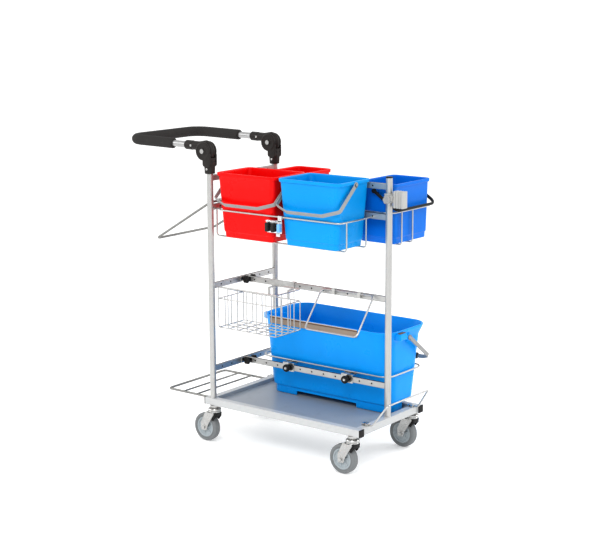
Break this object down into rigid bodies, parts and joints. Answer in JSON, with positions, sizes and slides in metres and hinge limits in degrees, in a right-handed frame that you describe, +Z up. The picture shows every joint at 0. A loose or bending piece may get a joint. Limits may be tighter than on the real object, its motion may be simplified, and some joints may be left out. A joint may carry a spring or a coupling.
{
  "type": "housekeeping cart",
  "caption": "Open-frame cleaning trolley on swivel castors with tilting push handle, wire cradles, lift-out buckets, tub, basket and folding hoops.",
  "frame": {"origin": "on the floor under the middle of the whole cart's box", "axes": "+X from the push handle towards the single post, +Y towards the side with the narrow buckets, +Z up"},
  "size_m": [1.073, 0.4856, 1.056],
  "materials": {
    "silver_frame": "satin anodised tube and punched channel",
    "white_base": "satin powder coat",
    "black_plastic": "fine moulded texture",
    "grey_tray": "satin powder coat",
    "plated_steel": "bright zinc plate",
    "wire": "bright plated wire",
    "handle_aluminium": "satin",
    "foam": "closed-cell foam, matt",
    "red_plastic": "semi-gloss moulded",
    "sky_plastic": "semi-gloss moulded",
    "navy_plastic": "semi-gloss moulded",
    "tub_plastic": "semi-gloss moulded",
    "grey_plastic": "moulded",
    "beige_plastic": "plain",
    "clip_rubber": "matt",
    "clip_blue": "moulded",
    "hub_plastic": "moulded",
    "tyre_grey": "solid rubber"
  },
  "bodies": {
    "frame": {"base_rails": "white_base", "base_cross_tubes": "white_base", "end_caps": "black_plastic", "tray": "grey_tray", "left_posts": "silver_frame", "right_post": "silver_frame", "cross_bars": "silver_frame", "long_bars": "silver_frame", "junction_brackets": "plated_steel", "frame_screws": "plated_steel", "left_wire_rack": "wire", "right_wire_bumper": "wire", "wire_clips": "black_plastic", "near_cradle": "wire", "far_cradle": "wire", "guard_ring": "wire", "guard_brackets": "plated_steel", "caster_mounts": "plated_steel", "knuckle_bases": "black_plastic", "clip_bracket": "plated_steel", "clip_jaws": "clip_rubber", "clip_spring": "clip_blue", "post_clamp": "grey_plastic"},
    "handle": {"knuckle_arms": "black_plastic", "handle_tube": "handle_aluminium", "foam_grip": "foam"},
    "bag_hoop": {"bag_hoop": "wire"},
    "front_hoop": {"front_hoop": "wire"},
    "basket": {"basket": "wire"},
    "red_bucket": {"red_bucket": "red_plastic"},
    "sky_bucket": {"sky_bucket": "sky_plastic"},
    "far_red_bucket": {"far_red_bucket": "red_plastic"},
    "navy_bucket": {"navy_bucket": "navy_plastic"},
    "red_bail": {"red_bail": "grey_plastic"},
    "sky_bail": {"sky_bail": "grey_plastic"},
    "far_red_bail": {"far_red_bail": "black_plastic"},
    "navy_bail": {"navy_bail": "black_plastic"},
    "tub": {"tub": "tub_plastic", "tub_strips": "beige_plastic"},
    "tub_bail": {"tub_bail": "grey_plastic", "tub_grip": "black_plastic"},
    "fork_left_near": {"fork_left_near": "plated_steel"},
    "wheel_left_near": {"hub_left_near": "hub_plastic", "tyre_left_near": "tyre_grey"},
    "fork_left_far": {"fork_left_far": "plated_steel"},
    "wheel_left_far": {"hub_left_far": "hub_plastic", "tyre_left_far": "tyre_grey"},
    "fork_right_near": {"fork_right_near": "plated_steel"},
    "wheel_right_near": {"hub_right_near": "hub_plastic", "tyre_right_near": "tyre_grey"},
    "fork_right_far": {"fork_right_far": "plated_steel"},
    "wheel_right_far": {"hub_right_far": "hub_plastic", "tyre_right_far": "tyre_grey"},
    "knob_low_near": {"knob_low_near": "black_plastic"},
    "knob_low_far": {"knob_low_far": "black_plastic"},
    "knob_mid_near": {"knob_mid_near": "black_plastic"},
    "knob_mid_far": {"knob_mid_far": "black_plastic"},
    "knob_guard_left": {"knob_guard_left": "black_plastic"},
    "knob_guard_right": {"knob_guard_right": "black_plastic"},
    "clamp_knob": {"clamp_knob": "grey_plastic"}
  },
  "joints": [
    {"name": "handle_tilt", "type": "hinge", "parent": "frame", "child": "handle", "pos_m": [-0.1685, -0.03633, 1.018], "axis": [0, 1, 0], "range_deg": [0, 90]},
    {"name": "bag_hoop_fold", "type": "hinge", "parent": "frame", "child": "bag_hoop", "pos_m": [-0.1695, -0.03633, 0.841], "axis": [0, 1, 0], "range_deg": [0, 60]},
    {"name": "front_hoop_fold", "type": "hinge", "parent": "frame", "child": "front_hoop", "pos_m": [0.3025, -0.04833, 0.562], "axis": [-1, 0, 0], "range_deg": [0, 60]},
    {"name": "basket_lift", "type": "slide", "parent": "frame", "child": "basket", "axis": [0, 0, 1], "range_m": [0, 0.06]},
    {"name": "red_bucket_lift", "type": "slide", "parent": "frame", "child": "red_bucket", "axis": [0, 0, 1], "range_m": [0, 0.24]},
    {"name": "sky_bucket_lift", "type": "slide", "parent": "frame", "child": "sky_bucket", "axis": [0, 0, 1], "range_m": [0, 0.24]},
    {"name": "far_red_bucket_lift", "type": "slide", "parent": "frame", "child": "far_red_bucket", "axis": [0, 0, 1], "range_m": [0, 0.24]},
    {"name": "navy_bucket_lift", "type": "slide", "parent": "frame", "child": "navy_bucket", "axis": [0, 0, 1], "range_m": [0, 0.24]},
    {"name": "tub_lift", "type": "slide", "parent": "frame", "child": "tub", "axis": [0, 0, 1], "range_m": [0, 0.14]},
    {"name": "red_bail_swing", "type": "hinge", "parent": "red_bucket", "child": "red_bail", "pos_m": [0.0025, -0.13033, 0.938], "axis": [-1, 0, 0], "range_deg": [0, 140]},
    {"name": "sky_bail_swing", "type": "hinge", "parent": "sky_bucket", "child": "sky_bail", "pos_m": [0.266, -0.13033, 0.938], "axis": [-1, 0, 0], "range_deg": [0, 140]},
    {"name": "far_red_bail_swing", "type": "hinge", "parent": "far_red_bucket", "child": "far_red_bail", "pos_m": [-0.0285, 0.10267, 0.905], "axis": [0, -1, 0], "range_deg": [0, 120]},
    {"name": "navy_bail_swing", "type": "hinge", "parent": "navy_bucket", "child": "navy_bail", "pos_m": [0.3825, 0.10267, 0.905], "axis": [0, -1, 0], "range_deg": [0, 120]},
    {"name": "tub_bail_swing", "type": "hinge", "parent": "tub", "child": "tub_bail", "pos_m": [0.1765, 0.10067, 0.401], "axis": [1, 0, 0], "range_deg": [0, 120]},
    {"name": "swivel_left_near", "type": "hinge", "parent": "frame", "child": "fork_left_near", "pos_m": [-0.1485, -0.21133, 0.118], "axis": [0, 0, 1], "continuous": true},
    {"name": "roll_left_near", "type": "hinge", "parent": "fork_left_near", "child": "wheel_left_near", "pos_m": [-0.1835, -0.21133, 0.05], "axis": [0, 1, 0], "continuous": true},
    {"name": "swivel_left_far", "type": "hinge", "parent": "frame", "child": "fork_left_far", "pos_m": [-0.1485, 0.13867, 0.118], "axis": [0, 0, 1], "continuous": true},
    {"name": "roll_left_far", "type": "hinge", "parent": "fork_left_far", "child": "wheel_left_far", "pos_m": [-0.1835, 0.13867, 0.05], "axis": [0, 1, 0], "continuous": true},
    {"name": "swivel_right_near", "type": "hinge", "parent": "frame", "child": "fork_right_near", "pos_m": [0.4415, -0.21133, 0.118], "axis": [0, 0, 1], "continuous": true},
    {"name": "roll_right_near", "type": "hinge", "parent": "fork_right_near", "child": "wheel_right_near", "pos_m": [0.4065, -0.21133, 0.05], "axis": [0, 1, 0], "continuous": true},
    {"name": "swivel_right_far", "type": "hinge", "parent": "frame", "child": "fork_right_far", "pos_m": [0.4415, 0.13867, 0.118], "axis": [0, 0, 1], "continuous": true},
    {"name": "roll_right_far", "type": "hinge", "parent": "fork_right_far", "child": "wheel_right_far", "pos_m": [0.4065, 0.13867, 0.05], "axis": [0, 1, 0], "continuous": true},
    {"name": "knob_low_near_turn", "type": "hinge", "parent": "frame", "child": "knob_low_near", "pos_m": [-0.1295, -0.04833, 0.262], "axis": [0, 1, 0], "range_deg": [0, 360]},
    {"name": "knob_low_far_turn", "type": "hinge", "parent": "frame", "child": "knob_low_far", "pos_m": [-0.1295, -0.02433, 0.262], "axis": [0, 1, 0], "range_deg": [0, 360]},
    {"name": "knob_mid_near_turn", "type": "hinge", "parent": "frame", "child": "knob_mid_near", "pos_m": [-0.1295, -0.04833, 0.555], "axis": [0, 1, 0], "range_deg": [0, 360]},
    {"name": "knob_mid_far_turn", "type": "hinge", "parent": "frame", "child": "knob_mid_far", "pos_m": [-0.1295, -0.02433, 0.555], "axis": [0, 1, 0], "range_deg": [0, 360]},
    {"name": "knob_guard_left_turn", "type": "hinge", "parent": "frame", "child": "knob_guard_left", "pos_m": [0.0465, -0.04833, 0.262], "axis": [0, 1, 0], "range_deg": [0, 360]},
    {"name": "knob_guard_right_turn", "type": "hinge", "parent": "frame", "child": "knob_guard_right", "pos_m": [0.2965, -0.04833, 0.262], "axis": [0, 1, 0], "range_deg": [0, 360]},
    {"name": "clamp_knob_turn", "type": "hinge", "parent": "frame", "child": "clamp_knob", "pos_m": [0.4735, -0.06633, 0.89], "axis": [0, 1, 0], "range_deg": [0, 360]}
  ]
}
